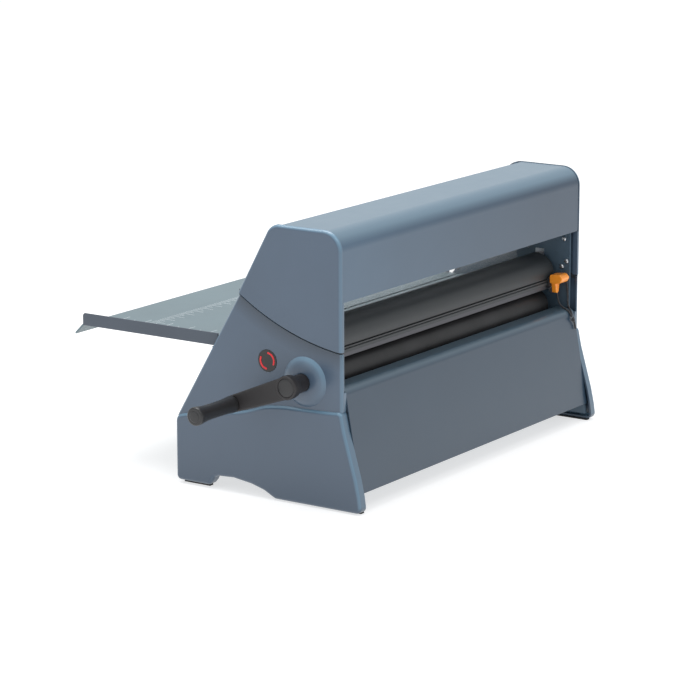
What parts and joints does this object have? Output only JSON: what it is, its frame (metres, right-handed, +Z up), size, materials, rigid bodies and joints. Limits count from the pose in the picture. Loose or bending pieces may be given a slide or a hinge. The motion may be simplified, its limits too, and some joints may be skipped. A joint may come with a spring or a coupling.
{
  "type": "cold roll laminator",
  "caption": "Hand-cranked cold roll laminator: end covers joined by a hinged hood, geared nip rollers between film rolls, folding feed tray and sliding cutter.",
  "frame": {"origin": "middle of the machine's width over the end covers and of the covers' footprint depth, on the surface it stands on", "axes": "+X along the rollers (the crank is at the -X end), the sheet is fed from the tray at +Y and leaves at -Y, +Z up"},
  "size_m": [0.8678, 0.5715, 0.433],
  "materials": {
    "body_plastic": "satin blue-grey enamel, fine texture",
    "frame_paint": "satin blue-grey paint on steel",
    "tray_paint": "pale blue-grey paint, satin",
    "guard_black": "black satin extrusion",
    "strip_metal": "brushed grey",
    "rubber": "ground black rubber",
    "foot_rubber": "moulded",
    "steel": "bright turned steel",
    "gear_plastic": "natural acetal",
    "crank_black": "charcoal textured",
    "grip_black": "black satin",
    "badge_black": "black satin label",
    "badge_red": "red print",
    "film": "clear film",
    "film_roll": "wound clear film",
    "core_card": "paper tube",
    "plug_plastic": "moulded",
    "cutter_orange": "orange moulded",
    "cord": "braided black cord"
  },
  "bodies": {
    "machine": {"left_cover_lower": "body_plastic", "left_cover_upper": "body_plastic", "right_cover_lower": "body_plastic", "right_cover_upper": "body_plastic", "left_side_frame": "frame_paint", "right_side_frame": "frame_paint", "base_pan": "frame_paint", "front_cover": "body_plastic", "rear_cover": "frame_paint", "rear_top_panel": "frame_paint", "tie_rods": "steel", "feed_shelf": "tray_paint", "tray_brackets": "frame_paint", "tray_hinge_rod": "steel", "hood_hinge_rod": "steel", "roller_guard": "guard_black", "cutter_rail": "guard_black", "cutting_strip": "strip_metal", "lower_bearings": "steel", "upper_bearing_blocks": "steel", "pressure_springs": "steel", "spring_seats": "steel", "supply_brackets": "steel", "rubber_feet": "foot_rubber", "direction_badge": "badge_black", "badge_arrows": "badge_red", "frame_screws": "steel", "crank_bushing": "plug_plastic", "upper_film_web": "film", "lower_film_web": "film"},
    "crank_drive": {"lower_roller_shaft": "steel", "lower_roller": "rubber", "lower_gear": "gear_plastic", "crank_hub": "crank_black", "crank_arm": "crank_black", "crank_cap": "grip_black", "crank_set_screw": "steel", "crank_pin": "steel"},
    "upper_nip_roller": {"upper_roller_shaft": "steel", "upper_roller": "rubber", "upper_gear": "gear_plastic"},
    "handle": {"crank_grip": "grip_black", "grip_end_cap": "grip_black"},
    "upper_supply_roll": {"upper_supply_core": "core_card", "upper_supply_film": "film_roll", "upper_supply_plugs": "plug_plastic"},
    "lower_supply_roll": {"lower_supply_core": "core_card", "lower_supply_film": "film_roll", "lower_supply_plugs": "plug_plastic"},
    "cutter": {"cutter_slider": "plug_plastic", "cutter_knob": "cutter_orange", "cutter_blade": "steel", "pull_cord": "cord", "pull_cord_return": "cord", "cord_knot": "cord"},
    "tray": {"feed_tray": "tray_paint", "tray_knuckles": "frame_paint"},
    "hood": {"hood": "body_plastic", "hood_knuckles": "frame_paint"}
  },
  "joints": [
    {"name": "crank_turn", "type": "hinge", "parent": "machine", "child": "crank_drive", "pos_m": [0, -0.071, 0.1956], "axis": [1, 0, 0], "continuous": true},
    {"name": "upper_roller_spin", "type": "hinge", "parent": "machine", "child": "upper_nip_roller", "pos_m": [0, -0.071, 0.2502], "axis": [1, 0, 0], "continuous": true},
    {"name": "upper_supply_spin", "type": "hinge", "parent": "machine", "child": "upper_supply_roll", "pos_m": [0, -0.0695, 0.365], "axis": [1, 0, 0], "continuous": true},
    {"name": "lower_supply_spin", "type": "hinge", "parent": "machine", "child": "lower_supply_roll", "pos_m": [0, 0.0025, 0.103], "axis": [1, 0, 0], "continuous": true},
    {"name": "handle_spin", "type": "hinge", "parent": "crank_drive", "child": "handle", "pos_m": [-0.45, 0.03169, 0.15618], "axis": [1, 0, 0], "continuous": true},
    {"name": "cutter_slide", "type": "slide", "parent": "machine", "child": "cutter", "axis": [-1, 0, 0], "range_m": [0, 0.62]},
    {"name": "tray_fold", "type": "hinge", "parent": "machine", "child": "tray", "pos_m": [0, 0.0965, 0.2214], "axis": [1, 0, 0], "range_deg": [0, 100]},
    {"name": "hood_open", "type": "hinge", "parent": "machine", "child": "hood", "pos_m": [0, -0.0255, 0.422], "axis": [-1, 0, 0], "range_deg": [0, 75]}
  ],
  "couplings": [
    {"joint": "upper_roller_spin", "follows": "crank_turn", "ratio": -1},
    {"joint": "upper_supply_spin", "follows": "crank_turn", "ratio": 0.64286},
    {"joint": "lower_supply_spin", "follows": "crank_turn", "ratio": -0.64286}
  ]
}
